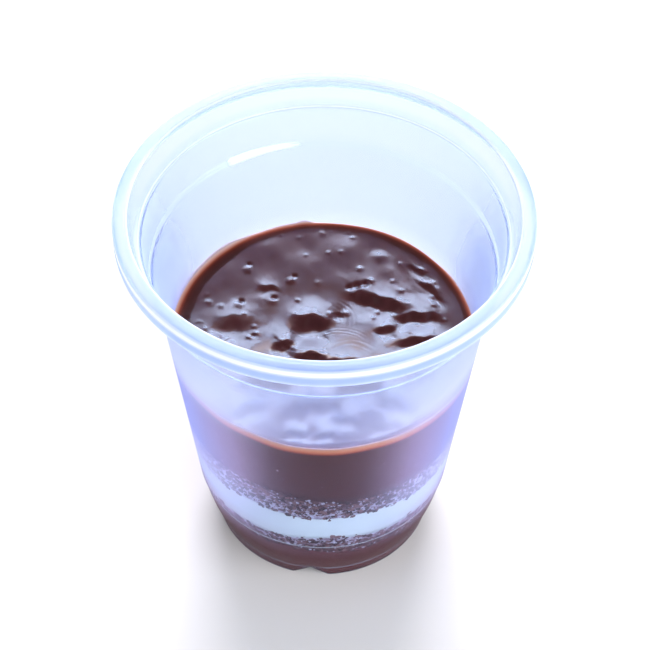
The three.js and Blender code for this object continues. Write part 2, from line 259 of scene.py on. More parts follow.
# Small bumps and burst bubbles on the top: place, radius and height, all scaled by one share
BUMP_SHARE = 0.45
BUMPS = (
    (13.6, 25.2, 1.7, 0.95), (-19.2, 20.9, 1.1, 0.5), (-8.3, 17.4, 0.9, 0.45),
    (-12.7, 10.8, 1.0, 0.4), (-20.9, 9.6, 1.1, 0.45), (-28.3, 10.1, 0.9, 0.45),
    (-19.5, 6.4, 0.7, 0.35), (-16.9, 2.6, 0.6, 0.3), (-18.0, -0.9, 0.6, 0.35),
    (-16.2, 0.3, 0.6, 0.35), (-10.8, 31.9, 0.5, 0.3), (-6.3, 31.4, 0.6, 0.25),
    (-0.6, 32.8, 0.8, 0.3), (-4.6, 25.7, 0.5, 0.25), (-22.5, 24.8, 0.4, 0.2),
    (-32.8, 5.7, 0.6, 0.3), (-22.2, -3.5, 0.6, 0.3), (-10.0, -4.9, 0.5, 0.3),
    (23.8, 21.1, 0.6, 0.35), (8.8, 21.3, 0.7, 0.35), (19.0, 23.0, 0.5, 0.25),
    (19.1, 14.2, 0.6, 0.3), (16.9, 17.2, 0.5, 0.25), (7.1, 31.4, 0.5, 0.3), (6.0, 33.2, 0.5, 0.3),
    (4.2, 26.7, 0.6, 0.3), (1.0, 26.4, 0.6, 0.3), (13.2, 7.7, 0.6, 0.3), (12.1, 5.7, 0.6, 0.3),
    (26.7, 9.5, 0.6, 0.35), (29.2, 4.9, 0.6, 0.35), (26.5, 12.5, 0.7, 0.35), (20.8, 0.5, 0.5, 0.3),
    (21.9, 5.9, 0.5, 0.3), (22.5, 3.5, 0.6, 0.35), (-6.5, 11.3, 0.6, 0.25), (-1.6, 17.0, 0.9, 0.3),
    (7.0, 13.4, 0.7, 0.4), (9.4, 14.4, 1.1, 0.6), (11.4, 17.2, 0.8, 0.5), (5.3, 7.2, 0.9, 0.5),
    (1.4, 6.9, 0.8, 0.4), (26.9, 16.8, 0.8, 0.35), (-28.7, 12.6, 0.6, 0.25), (-25.2, 9.0, 0.7, 0.3),
    (-30.2, 3.7, 0.6, 0.3), (-25.1, -1.1, 0.6, 0.3), (-28.6, 1.4, 0.6, 0.3),
    (-18.5, 22.6, 0.5, -0.7), (-7.2, 18.9, 0.5, -0.7), (-12.3, 12.0, 0.7, -0.9),
    (-20.2, 10.8, 0.6, -0.8), (8.2, 15.8, 0.9, -1.3), (6.2, 15.4, 0.8, -0.9),
    (10.2, 16.4, 0.8, -1.1), (3.6, 6.2, 1.0, -0.8), (-16.9, -0.4, 0.5, -0.5),
)

# Unevenness of the whole top, from sines: their number, the shortest wavelength, how much longer
# each is than the one before, and height over wavelength
UNEVEN_SINES = 40
UNEVEN_SHORTEST = 3.6
UNEVEN_GROWTH = 1.05
UNEVEN_STEEPNESS = 0.0011
UNEVEN_SEED = 7

# Sets of fine spoon strokes: centre, inner and outer radius, heading and half-angle in degrees,
# spacing and depth
STROKES = (
    (6.3, -10.5, 6.6, 8.6, 88, 55, 1.5, 0.012),
    (3.1, -10, 10.4, 12.6, 88, 42, 1.0, 0.010),
    (-2.8, 4, 7.2, 11, 250, 50, 1.3, 0.018),
    (-1, 4, 6, 9, 25, 40, 1.1, 0.014),
)

# Width over which a set fades at its edges, the share of its half-angle where it starts to fade
# to its ends, and how its lines wander
STROKE_EDGE = 0.6
STROKE_FULL_SHARE = 0.6
STROKE_WANDER = 1.5
STROKE_WANDER_LOBES = 3
STROKE_SPREAD = 2

# Soft pale lines on the milky plastic, as depth below the rim's top or height above the table, and
# half-width: painted highlights on the rim's shoulder, the skirt's foot and the rings low on the
# wall, and a pale line on the upper ledge
SHOULDER_LINE = (1.2, 1.0)
SHOULDER_LINE_POWER = 4
SKIRT_LINE = (SKIRT_DEPTH, 0.7)
LEDGE_LINE = (UPPER_LEDGE_DEPTH + 0.1, 0.2)
RING_LINE = (RING_HEIGHT + 0.5, 0.3)
FOOT_LINE = (FOOT_HEIGHT + 0.7, 0.35)

# Painted highlight: a pale streak on the ledge at the back, where the ledge would mirror a window.
# Azimuths where it starts, is full and ends, its depth, and its half-width at the start and how
# much that grows
STREAK_START = 186
STREAK_FULL = 196
STREAK_END = 216
STREAK_END_FADE = 2
STREAK_DEPTH = LOWER_LEDGE_DEPTH + 0.3
STREAK_HALF_WIDTH = 0.25
STREAK_HALF_GROWTH = 0.35

# How milky each place is, and how white the painted highlights beside the rim's edges are
HIGHLIGHT_MILK = 0.85
SKIRT_HIGHLIGHT_SHARE = 0.5
TOP_MILK = 0.4
SKIRT_MILK = 0.6
LEDGE_MILK = 0.45
RING_MILK = 0.36
FOOT_LINE_SHARE = 0.6
RING_TONE = 0.7
STREAK_TONE = 9


class Lumps(NamedTuple):
    """Kind of lump at the wall: its seed, half the length of the smallest and of the largest, half
    its thickness, and how rough it is."""

    seed: int
    smallest: float
    largest: float
    thickness: float
    roughness: float


CRUMB = Lumps(seed=3, smallest=0.2, largest=1.0, thickness=0.2, roughness=0.35)
SMEAR = Lumps(seed=5, smallest=0.2, largest=0.6, thickness=0.24, roughness=0.3)
BUBBLE = Lumps(seed=9, smallest=0.2, largest=0.45, thickness=0.08, roughness=0.05)

# Crumbs at the wall: name, number, the surfaces between which they lie, and how far they stray
CRUMBS = (
    ("upper_crumbs", 3800, CREAM_TOP, MOUSSE_FLOOR, 0.5),
    ("lower_crumbs", 2800, BASE_TOP, CREAM_FLOOR, 0.45),
)
CRUMBS_PER_SMEAR = 6
SMEAR_SPREAD = 0.1
BUBBLE_COUNT = 45
BUBBLE_HEIGHTS = (43, 60)
SPOT_SEED = 11

# How much closer together the crumbs lie away from the cream, a lump's breadth over its length,
# and how far it is turned, in radians
CRUMB_CROWDING = 1.2
LUMP_BREADTH = (0.5, 1.1)
LUMP_TURN = 0.4

# Ragged line along which the crumbs stray into the cream: lobes round the cup, and height of each
RAGGED_LOBES = (23, 31, 43, 57, 71, 97)
RAGGED_HEIGHT = 0.3

# Cream soaked into the upper crumbs: its share at their foot, and how much more there is to the
# left and right of the front, from one azimuth to another
CREAM_SOAK = 1.1
CREAM_ASIDE = 0.7
CREAM_ASIDE_START = 15
CREAM_ASIDE_FULL = 40

# Room, as elevation and colour
ROOM_STRENGTH = 0.62
ROOM = ((0, (0.93, 0.97, 1.0)), (38, (0.88, 0.94, 1.0)), (58, (0.08, 0.08, 0.09)))

# Glow of the room at the back, as elevation and colour, fading upwards and to the sides, where it
# starts and is full by the cosine of the angle from straight back
BACK_GLOW_STRENGTH = 18.5
BACK_GLOW_START = 0.90
BACK_GLOW_FULL = 0.98
BACK_GLOW = (
    (0, (0.17, 0.17, 0.20)), (12, (0.33, 0.34, 0.40)), (22, (0.80, 0.83, 0.95)),
    (41, (0.90, 0.90, 1.0)), (43.5, (0.80, 0.73, 0.80)), (45.5, (0.52, 0.42, 0.44)),
    (47.5, (0.24, 0.16, 0.155)), (50, (0.10, 0.066, 0.064)), (53, (0.045, 0.033, 0.034)),
    (58, (0.031, 0.026, 0.028)), (68, (0.016, 0.014, 0.015)), (76, (0, 0, 0)),
)

# Windows, with their sizes as angles, all at one distance in metres
WINDOW_DISTANCE = 1.4
WINDOWS = (
    dict(name="side_window", azimuth=60, elevation=40, width=34, height=12, radiance=6,
         color=(0.9, 0.95, 1.0)),
    dict(name="front_window", azimuth=50, elevation=30, width=60, height=30, radiance=2.9,
         color=(0.96, 0.96, 1.0)),
    dict(name="left_window", azimuth=-70, elevation=30, width=60, height=30, radiance=1.7,
         color=(0.96, 0.95, 1.0)),
)

# Half the floor's side, in metres
FLOOR_HALF = 3


# Shapes


def smooth(x, start, end):
    """Rises smoothly from zero at the start to one at the end."""
    t = np.clip((x - start) / (end - start), 0, 1)
    return t * t * (3 - 2 * t)


def soft_line(distance, half_width, power=2):
    """Strength of a soft line, which is one at its middle."""
    return np.exp(-np.abs(distance / half_width) ** power)


def on_circle(radius, azimuth, z):
    return np.stack((radius * np.sin(azimuth), -radius * np.cos(azimuth), z + 0 * azimuth), -1)


def polar(points):
    """Radius and azimuth of each point."""
    return np.hypot(points[:, 0], points[:, 1]), np.arctan2(points[:, 0], -points[:, 1])


def outside_radius(z):
    """Outside radius of the cup's wall at height z."""
    z = np.asarray(z, float)
    straight = WALL_RADIUS + WALL_TAPER * (z - WALL_RADIUS_HEIGHT)
    drop = np.clip(RING_HEIGHT - z, 0, RING_HEIGHT)
    corner = CORNER_RADIUS - np.sqrt(CORNER_RADIUS**2 - drop**2)
    step = RING_STEP * (1 - smooth(z, RING_HEIGHT - RING_SOFTNESS, RING_HEIGHT + RING_SOFTNESS))
    flare_top = CUP_HEIGHT - LOWER_LEDGE_DEPTH - FLARE_START
    flare = FLARE * (np.clip(z - FLARE_START, 0, None) / flare_top) ** 2
    body = straight - step - corner + flare
    foot = 1 - smooth(z, FOOT_HEIGHT - FOOT_SOFTNESS, FOOT_HEIGHT + FOOT_SOFTNESS)
    return body * (1 - foot) + FOOT_RADIUS * foot


def fill_radius(z):
    """Radius that the filling reaches at height z, a little inside the wall's thickness."""
    return outside_radius(z) - WALL + WALL_OVERLAP


def groove_height(x, y, growth):
    """Height of the V-shaped grooves of the standing ring above the floor, grown by `growth`."""
    slope = math.atan2(GROOVE_HEIGHT, GROOVE_WIDTH / 2)
    apex = GROOVE_HEIGHT + growth / math.cos(slope)
    half = apex * GROOVE_WIDTH / 2 / GROOVE_HEIGHT
    start = GROOVE_INNER_RADIUS - growth
    height = np.zeros_like(x)
    for i in range(GROOVE_COUNT):
        azimuth = math.radians(GROOVE_AZIMUTH + 360 * i / GROOVE_COUNT)
        along = x * math.sin(azimuth) - y * math.cos(azimuth)
        across = x * math.cos(azimuth) + y * math.sin(azimuth)
        reach = smooth(along, start, start + GROOVE_INNER_SLOPE)
        height = np.maximum(height, apex * np.clip(1 - np.abs(across) / half, 0, 1) * reach)
    return height


def raise_grooves(points, inset):
    """Lifts the foot's points over the grooves, squeezing what lies between them and the wall."""
    ceiling = FOOT_HEIGHT + GROOVE_HEIGHT / 2 + inset
    x, y, z = points[..., 0], points[..., 1], points[..., 2]
    lifted = np.maximum(groove_height(x, y, inset), inset)
    squeezed = lifted + (z - inset) * (ceiling - lifted) / (ceiling - inset)
    near = (z < ceiling) & (np.hypot(x, y) > GROOVE_INNER_RADIUS - inset)
    points[..., 2] = np.where(near, squeezed, z)
    return points


def rounded(corners, steps=5):
    """An outline through (radius, height, rounding) corners, each rounded off by that much."""
    places = np.array([(x, z) for x, z, _ in corners], float)
    outline = [places[0]]
    for i in range(1, len(places) - 1):
        before, here, after = places[i - 1 : i + 2]
        rounding = corners[i][2]
        if rounding == 0:
            outline.append(here)
            continue
        enter = here + (before - here) * min(0.5, rounding / np.linalg.norm(before - here))
        leave = here + (after - here) * min(0.5, rounding / np.linalg.norm(after - here))
        for t in np.linspace(0, 1, steps):
            outline.append((1 - t) ** 2 * enter + 2 * t * (1 - t) * here + t**2 * leave)
    outline.append(places[-1])
    return np.array(outline)


def wall_corners(inset):
    """Corners up the wall, from the foot to the lower ledge, closest at the foot and the ring."""
    ledge_foot = CUP_HEIGHT - LOWER_LEDGE_DEPTH - LEDGE_DROP
    spans = (
        (FOOT_HEIGHT - 0.3, FOOT_HEIGHT + 0.3, 7),
        (FOOT_HEIGHT + 0.5, FOOT_HEIGHT + 1.4, 5),
        (FOOT_HEIGHT + 2, RING_HEIGHT - 0.8, 13),
        (RING_HEIGHT - 0.25, RING_HEIGHT + 0.25, 7),
        (RING_HEIGHT + 0.4, RING_HEIGHT + 1.3, 6),
        (RING_HEIGHT + 2.5, ledge_foot - 0.8, 29),
    )
    heights = np.concatenate([np.linspace(start, end, count) for start, end, count in spans])
    corners = [(float(outside_radius(z)) - inset, float(z), 0) for z in heights]
    corners.append((float(outside_radius(ledge_foot)) - inset, ledge_foot, LOWER_LEDGE_ROUNDING))
    return corners


def ledge_corners(outset):
    """Corners up the two ledges."""
    upper = CUP_HEIGHT - UPPER_LEDGE_DEPTH - outset / 2
    lower = CUP_HEIGHT - LOWER_LEDGE_DEPTH - outset / 2
    foot = np.array((LOWER_LEDGE_OUTER + outset, lower))
    head = np.array((UPPER_LEDGE_INNER + outset, upper - LEDGE_DROP))
    return [
        (*foot, LOWER_LEDGE_ROUNDING),
        *[(*(foot + (head - foot) * share), 0) for share in STREAK_RINGS],
        (*head, LEDGE_ROUNDING),
        (UPPER_LEDGE_OUTER + outset, upper, LEDGE_ROUNDING),
    ]


def foot_corners(inset):
    """Corners under the floor and round the standing ring."""
    floor = FOOT_HEIGHT + inset
    outer = FOOT_RADIUS - inset
    inner = FOOT_RADIUS - FOOT_WIDTH + inset
    return [
        (0, floor, 0),
        (inner - FOOT_EDGE - 2, floor, 0),
        (inner - FOOT_EDGE / 2, floor, FLOOR_ROUNDING),
        (inner, inset, FOOT_ROUNDING),
        (outer, inset, FOOT_ROUNDING),
    ]


def rim_corners():
    """Corners round the rim, from under its flat top, down and up the skirt, and to the mouth."""
    skirt_inner = RIM_RADIUS - SKIRT_WALL
    skirt_foot = CUP_HEIGHT - SKIRT_DEPTH
    underside = CUP_HEIGHT - SKIRT_WALL
    return [
        (MOUTH_RADIUS + WALL, underside, UNDERSIDE_ROUNDING),
        (skirt_inner, underside, UNDERSIDE_ROUNDING),
        (skirt_inner, skirt_foot, SKIRT_INNER_ROUNDING),
        (RIM_RADIUS, skirt_foot, SKIRT_OUTER_ROUNDING),
        *[(RIM_RADIUS, skirt_foot + SKIRT_DEPTH * i / 16, 0) for i in range(2, 12)],
        (RIM_RADIUS, CUP_HEIGHT, RIM_ROUNDING * ROUNDING_REACH),
        *[(RIM_RADIUS + (MOUTH_RADIUS - RIM_RADIUS) * i / 8, CUP_HEIGHT, 0) for i in range(4, 7)],
        (MOUTH_RADIUS, CUP_HEIGHT, MOUTH_ROUNDING * ROUNDING_REACH),
    ]


def add_piece(name, mesh, material):
    mesh.materials.append(material)
    piece = bpy.data.objects.new(name, mesh)
    bpy.context.scene.collection.objects.link(piece)
    return piece


def make_mesh(name, rings, material):
    """A piece from rings of points (rings x segments x 3), closed by one point at either end."""
    rings = np.asarray(rings, float)
    count, segments, _ = rings.shape
    points = np.concatenate((rings.reshape(-1, 3), [rings[0].mean(0), rings[-1].mean(0)])) * MM
    first_end, last_end = count * segments, count * segments + 1
    index = np.arange(count * segments).reshape(count, segments)
    after = np.roll(index, -1, axis=1)
    quads = np.stack((index[:-1], after[:-1], after[1:], index[1:]), -1).reshape(-1, 4)
    fans = np.concatenate((
        np.stack((after[0], index[0], np.full(segments, first_end)), -1),
        np.stack((index[-1], after[-1], np.full(segments, last_end)), -1),
    ))
    loops = np.concatenate((quads.ravel(), fans.ravel()))
    starts = np.concatenate((np.arange(len(quads)) * 4, quads.size + np.arange(len(fans)) * 3))
    mesh = bpy.data.meshes.new(name)
    mesh.vertices.add(len(points))
    mesh.vertices.foreach_set("co", points.ravel())
    mesh.loops.add(len(loops))
    mesh.loops.foreach_set("vertex_index", loops.astype(np.int32))
    mesh.polygons.add(len(starts))
    mesh.polygons.foreach_set("loop_start", starts.astype(np.int32))
    mesh.update(calc_edges=True)
    mesh.validate()
    mesh.polygons.foreach_set("use_smooth", np.ones(len(mesh.polygons), bool))
    return add_piece(name, mesh, material)


def turn(outline, segments):
    """Rings of points from an outline of (radius, height) turned round the Z axis."""
    azimuth = np.arange(segments) * TAU / segments
    return on_circle(outline[:, 0, None], azimuth, outline[:, 1, None])


def layer_height(surface, share, azimuth):
    """Height of the surface between two layers, as in the CAD source."""
    tilt = surface.tilt * np.cos(azimuth - math.radians(surface.tilt_azimuth))
    sag = surface.sag * np.cos(2 * azimuth)
    ripple = surface.ripple * np.sin(surface.lobes * azimuth + math.radians(surface.phase))
    return surface.level + share * tilt + share**2 * (sag + ripple)


def between(surface):
    """The surface's height as a function of a share of the radius and an azimuth."""
    return lambda share, azimuth: layer_height(surface, share, azimuth)


def layer(name, material, floor, top, floor_rings=COARSE_RINGS, rows=SIDE_ROWS,
          top_rings=COARSE_RINGS, segments=SIDE_SEGMENTS):
    """A round layer between two surfaces, its side reaching into the cup's wall."""
    azimuth = np.arange(segments) * TAU / segments
    outline = [(share, 0.0) for share in floor_rings] + [(1.0, row) for row in rows]
    outline += [(share, 1.0) for share in reversed(top_rings)]
    rings = []
    for share, depth in outline:
        share = np.full(segments, share)
        z = (1 - depth) * floor(share, azimuth) + depth * top(share, azimuth)
        rings.append(on_circle(share * fill_radius(z), azimuth, z))
    return make_mesh(name, rings, material)


def wave_height(wave, x, y):
    """Height that one wave adds at x, y."""
    aside = (x - wave.x) / wave.half_width
    beyond = y - (wave.y + wave.slant * (x - wave.x) - wave.bend * aside**2)
    behind = wave.rise * np.clip(1 - beyond / wave.back, 0, 1) ** WAVE_BACK_POWER
    before = wave.rise - (wave.rise + wave.drop) * smooth(-beyond, 0, wave.front)
    before += wave.drop * smooth(-beyond, wave.front, WAVE_TROUGH_END * wave.front)
    return np.exp(-np.abs(aside) ** WAVE_SIDE_POWER) * np.where(beyond > 0, behind, before)


def wander(x, y, sines):
    """How far the waves' outlines are moved at x, y."""
    return WANDER * sum(share * np.sin(a * x + b * y + phase) for share, a, b, phase in sines)


def unevenness(x, y):
    """Slight unevenness of a spooned surface, from sines in seeded directions."""
    rng = random.Random(UNEVEN_SEED)
    height = np.zeros_like(x)
    for i in range(UNEVEN_SINES):
        length = UNEVEN_SHORTEST * UNEVEN_GROWTH**i
        angle, phase = rng.uniform(0, TAU), rng.uniform(0, TAU)
        run = x * math.cos(angle) + y * math.sin(angle)
        height += UNEVEN_STEEPNESS * length * np.sin(TAU * run / length + phase)
    return height


def strokes(x, y):
    """Fine arcs that the spoon drew, each set round its own centre."""
    height = np.zeros_like(x)
    for centre_x, centre_y, inner, outer, heading, spread, spacing, depth in STROKES:
        radius = np.hypot(x - centre_x, y - centre_y)
        angle = np.arctan2(y - centre_y, x - centre_x) - math.radians(heading)
        angle = np.abs((angle + math.pi) % TAU - math.pi)
        band = smooth(radius, inner - STROKE_EDGE, inner)
        band *= 1 - smooth(radius, outer, outer + STROKE_EDGE)
        half_angle = math.radians(spread)
        sector = 1 - smooth(angle, half_angle * STROKE_FULL_SHARE, half_angle)
        phase = STROKE_WANDER * np.sin(STROKE_WANDER_LOBES * angle + inner) + STROKE_SPREAD * angle
        height += depth * band * sector * np.sin(TAU * (radius - inner) / spacing + phase)
    return height


def film_edge(azimuth):
    """Height that the chocolate's film reaches on the wall, with one blob at the back."""
    rng = random.Random(FILM_SEED)
    edge = FILM_EDGE + FILM_EDGE_LEAN * np.cos(azimuth) - FILM_EDGE_SIDE_LEAN * np.sin(azimuth)
    for lobes in FILM_RIPPLE_LOBES:
        edge = edge + FILM_RIPPLE / math.sqrt(lobes) * np.sin(lobes * azimuth + rng.uniform(0, TAU))
    blob = azimuth % TAU - math.radians(BLOB_AZIMUTH)
    return edge + BLOB_RISE * soft_line(blob, math.radians(BLOB_SPREAD))


def film_width(azimuth):
    """Width of the dull ring of chocolate that is drawn up to the wall, widest at the left."""
    left = azimuth % TAU - math.radians(FILM_LEFT_AZIMUTH)
    width = FILM_WIDTH + FILM_WIDTH_LEFT * soft_line(left, math.radians(FILM_LEFT_SPREAD))
    for size, lobes, phase in FILM_WIDTH_RIPPLES:
        width = width + size * np.sin(lobes * azimuth + phase)
    return width


def relief(x, y):
    """Height of the top's swells, waves, bumps, unevenness and strokes at x, y."""
    height = SWELL_HEIGHT * np.sin(TAU * x / SWELL_LENGTH_X) * np.cos(TAU * y / SWELL_LENGTH_Y)
    height += unevenness(x, y) + strokes(x, y)
    moved_x, moved_y = x + wander(x, y, WANDER_X), y + wander(x, y, WANDER_Y)
    for wave in WAVES:
        height += wave_height(wave, moved_x, moved_y)
    for bump_x, bump_y, size, rise in BUMPS:
        height += BUMP_SHARE * rise * np.exp(-((x - bump_x) ** 2 + (y - bump_y) ** 2) / size**2)
    return height


def surface_height(share, azimuth):
    """Height of the hazelnut chocolate's top, up to the edge of its film on the wall."""
    radius = share * fill_radius(SURFACE_LEVEL)
    x, y = radius * np.sin(azimuth), -radius * np.cos(azimuth)
    away = np.clip(np.abs(y - BOWL_CENTRE) / BOWL_REACH, 0, 1)
    level = SURFACE_LEVEL + BOWL_DEPTH / 2 * (1 - np.cos(math.pi * away))
    level = level + BOWL_SIDE_CURVE / 2 * x**2
    flatter = 1 - RELIEF_FADE * smooth(share, RELIEF_FADE_START, 1)
    meniscus = np.clip((share - MENISCUS_START) / (1 - MENISCUS_START), 0, None)
    top = level + relief(x, y) * flatter + MENISCUS_RISE * meniscus**2
    return top + (film_edge(azimuth) - top) * smooth(share, FILM_START, 1)


# Materials


class Nodes:
    """A node tree, built by short calls. A value that is a socket is linked, and others are set."""

    def __init__(self, tree):
        self.tree = tree
        self.tree.nodes.clear()

    def add(self, kind, values=None, **settings):
        node = self.tree.nodes.new("ShaderNode" + kind)
        for key, value in settings.items():
            setattr(node, key, value)
        for key, value in (values or {}).items():
            socket = node.inputs[key]
            if isinstance(value, bpy.types.NodeSocket):
                self.tree.links.new(value, socket)
            else:
                socket.default_value = (*value, 1) if socket.type == "RGBA" else value
        return node

    def shader(self, kind, values):
        return self.add(kind, values).outputs[0]

    def mix(self, factor, first, second):
        return self.add("MixShader", {0: factor, 1: first, 2: second}).outputs[0]

    def calculate(self, operation, first, second):
        return self.add("Math", {0: first, 1: second}, operation=operation).outputs[0]

    def noise(self, scale, detail):
        place = self.add("TexCoord").outputs["Object"]
        node = self.add("TexNoise", {"Vector": place, "Scale": scale, "Detail": detail})
        return node.outputs["Fac"]

    def ramp(self, factor, stops):
        """Colours along a factor, as (position, colour) stops."""
        node = self.add("ValToRGB", {"Fac": factor})
        elements = node.color_ramp.elements
        while len(elements) < len(stops):
            elements.new(1.0)
        for element, (position, color) in zip(elements, stops):
            element.position = position
            element.color = (*color, 1)
        return node.outputs["Color"]

    def levels(self, factor, stops):
        """Numbers along a factor, as (position, number) stops."""
        return self.ramp(factor, [(position, (number,) * 3) for position, number in stops])

    def span(self, value, start, end, low=0.0, high=1.0):
        """The value carried over from one range to another, and kept inside it."""
        return self.add("MapRange", {
            "Value": value, "From Min": start, "From Max": end, "To Min": low, "To Max": high,
        }).outputs["Result"]

    def blend(self, factor, first, second):
        return self.add("Mix", {0: factor, 6: first, 7: second}, data_type="RGBA").outputs[2]

    def attribute(self, name):
        return self.add("Attribute", attribute_name=name).outputs["Fac"]


class Material(Nodes):
    """A material, built by the same short calls."""

    def __init__(self, name):
        self.material = bpy.data.materials.new(name)
        self.material.use_nodes = True
        super().__init__(self.material.node_tree)

    def finish(self, surface):
        self.add("OutputMaterial", {"Surface": surface})
        return self.material

    def dull(self, color, roughness, gloss=0.0):
        """Finishes the material as one that hardly shines."""
        return self.finish(self.shader("BsdfPrincipled", {
            "Base Color": color, "Roughness": roughness, "Specular IOR Level": gloss,
        }))


def painted_veil_tint(n, upward, facing):
    """Colour of the plastic's veil by height, painted to stand in for light that the layer behind
    it sends into the plastic. Over the mousse it is pinker where the wall faces the eye."""
    tints = [n.ramp(upward, (
        (0.035, (0.42, 0.36, 0.46)), (0.05, (0.15, 0.065, 0.10)), (0.11, (0.15, 0.065, 0.10)),
        (0.20, (0.42, 0.36, 0.62)), (0.27, (0.55, 0.62, 1.0)), (0.36, (0.55, 0.58, 1.0)),
        (0.44, over_mousse), (0.60, over_mousse), (0.70, (0.62, 0.70, 1.0)),
        (0.80, (0.56, 0.65, 0.96)), (0.88, (0.58, 0.70, 0.96)), (0.98, (0.80, 0.92, 1.0)),
    )) for over_mousse in ((0.55, 0.465, 0.84), (0.41, 0.47, 0.97))]
    return n.blend(n.span(facing, 0.6, 0.82), *tints)


def veil_amount(n, upward, facing):
    """How much of the plastic's veil shows: more of it edge on, and a slight haze everywhere."""
    edge_on = n.levels(facing, (
        (0.45, 0.01), (0.52, 0.11), (0.56, 0.24), (0.62, 0.43), (0.70, 0.58), (0.88, 0.86),
    ))
    thickness = n.levels(upward, (
        (0.02, 0.30), (0.22, 0.66), (0.62, 0.66), (0.68, 0.90), (0.80, 0.80), (0.86, 0.38),
    ))
    haze = n.levels(upward, (
        (0.0, 0.05), (0.035, 0.05), (0.05, 0), (0.62, 0), (0.68, 0.06), (0.86, 0.06), (0.90, 0.03),
        (0.97, 0.03), (0.99, 0),
    ))
    amount = n.calculate("ADD", n.calculate("MULTIPLY", edge_on, thickness), haze)
    return n.levels(amount, ((0.0, 0), (0.36, 0.55), (0.50, 0.71), (0.65, 0.83), (0.85, 0.93)))


def clear_plastic():
    """Thin milky plastic. It passes light softly, and turns lavender where it is seen edge on: as
    a sheen on its outer side, and dull on its inner side."""
    n = Material("clear_plastic")
    place = n.add("TexCoord").outputs["Object"]
    upward = n.span(n.add("SeparateXYZ", {0: place}).outputs["Z"], 0.0, 100 * MM)
    facing = n.add("LayerWeight", {"Blend": 0.5}).outputs["Facing"]
    clear = n.shader("BsdfPrincipled", {
        "Base Color": n.ramp(upward, ((0.985, (0.625, 0.76, 0.96)), (0.995, (0.71, 0.82, 0.972)))),
        "Roughness": 0.22,
        "IOR": 1.2,
        "Transmission Weight": 1.0,
        "Coat Weight": 0.12,
        "Coat Roughness": 0.24,
        "Coat IOR": 1.45,
    })
    passing = n.mix(0.05, clear, n.shader("BsdfTranslucent", {"Color": (0.80, 0.71, 1.0)}))
    # Veil colour painted by height, standing in for light from the layers behind
    painted_tint = painted_veil_tint(n, upward, facing)
    sheen = n.shader("BsdfAnisotropic", {"Color": painted_tint, "Roughness": 0.26})
    veil = n.mix(n.attribute("inner_side"), sheen, n.shader("BsdfDiffuse", {"Color": painted_tint}))
    veiled = n.mix(veil_amount(n, upward, facing), passing, veil)
    # Milky diffuse: blue on the rim's flats, and white at the painted highlights marked on the
    # rim's edges, the rings low on the wall and the streak at the back
    milk_and_highlights = n.shader("BsdfDiffuse", {"Color": n.ramp(n.attribute("milk_and_highlight_tone"), (
        (0.0, (0.36, 0.49, 0.88)), (1.0, (0.93, 0.97, 1.0)),
    ))})
    body = n.mix(n.attribute("milk_and_highlights"), veiled, milk_and_highlights)
    shadow = n.shader("BsdfTransparent", {"Color": (0.88, 0.91, 0.96)})
    return n.finish(n.mix(n.add("LightPath").outputs["Is Shadow Ray"], body, shadow))


def glossy_chocolate():
    """Dark ganache, glossy and slightly streaky."""
    n = Material("glossy_chocolate")
    grain = n.add("Bump", {"Height": n.noise(900, 3.0), "Strength": 1.0, "Distance": 0.000006})
    return n.finish(n.shader("BsdfPrincipled", {
        "Base Color": n.blend(n.noise(90, 3.0), (0.038, 0.009, 0.009), (0.050, 0.013, 0.011)),
        "Roughness": n.span(n.noise(400, 2.0), 0.3, 0.7, 0.15, 0.20),
        "IOR": 1.5,
        "Normal": grain.outputs["Normal"],
    }))


def chocolate_film():
    """Chocolate drawn up at the wall: dull dark red, and lighter and salmon towards its thin edge,
    painted as light shining through the thinning film.
    """
    n = Material("chocolate_film")
    # Painted light: redder and paler as the film thins, where light would shine through it
    color = n.ramp(n.attribute("film"), (
        (0.0, (0.036, 0.009, 0.007)), (0.45, (0.060, 0.012, 0.007)), (0.66, (0.15, 0.028, 0.014)),
        (0.80, (0.30, 0.075, 0.040)), (0.91, (0.48, 0.21, 0.14)), (1.0, (0.62, 0.42, 0.33)),
    ))
    return n.dull(color, 0.45, 0.03)


def chocolate_side():
    """The same chocolate pressed against the wall, so without gloss. Its thin edge is painted
    orange, standing in for light shining through the thin chocolate.
    """
    n = Material("chocolate_side")
    body = n.blend(n.noise(70, 4.0), (0.064, 0.016, 0.014), (0.090, 0.027, 0.024))
    film = n.attribute("film")
    # Painted light: orange where light would shine through the thin edge
    edge = n.ramp(film, (
        (0.0, (0.070, 0.019, 0.017)), (0.1, (0.19, 0.032, 0.026)), (0.2, (0.38, 0.065, 0.036)),
        (0.32, (0.58, 0.15, 0.06)), (0.45, (0.70, 0.21, 0.08)), (0.65, (0.72, 0.28, 0.12)),
        (0.85, (0.64, 0.32, 0.20)), (1.0, (0.56, 0.40, 0.38)),
    ))
    return n.dull(n.blend(n.span(film, 0.0, 0.08), body, edge), 0.6)


def dark_chocolate():
    n = Material("dark_chocolate")
    return n.dull(n.blend(n.noise(160, 3.0), (0.103, 0.018, 0.020), (0.138, 0.029, 0.030)), 0.6)


def cake_crumb():
    """The ground between the crumbs: brown by the chocolate, and pale where cream has soaked in."""
    n = Material("cake_crumb")
    more_cream = n.span(n.attribute("cream_share"), 0, 1, -0.2, 0.24)
    soaked = n.calculate("ADD", n.noise(700, 4.0), more_cream)
    return n.dull(n.ramp(soaked, (
        (0.34, (0.070, 0.024, 0.027)), (0.48, (0.175, 0.098, 0.118)), (0.62, (0.33, 0.245, 0.31)),
        (0.80, (0.60, 0.57, 0.68)),
    )), 0.8)


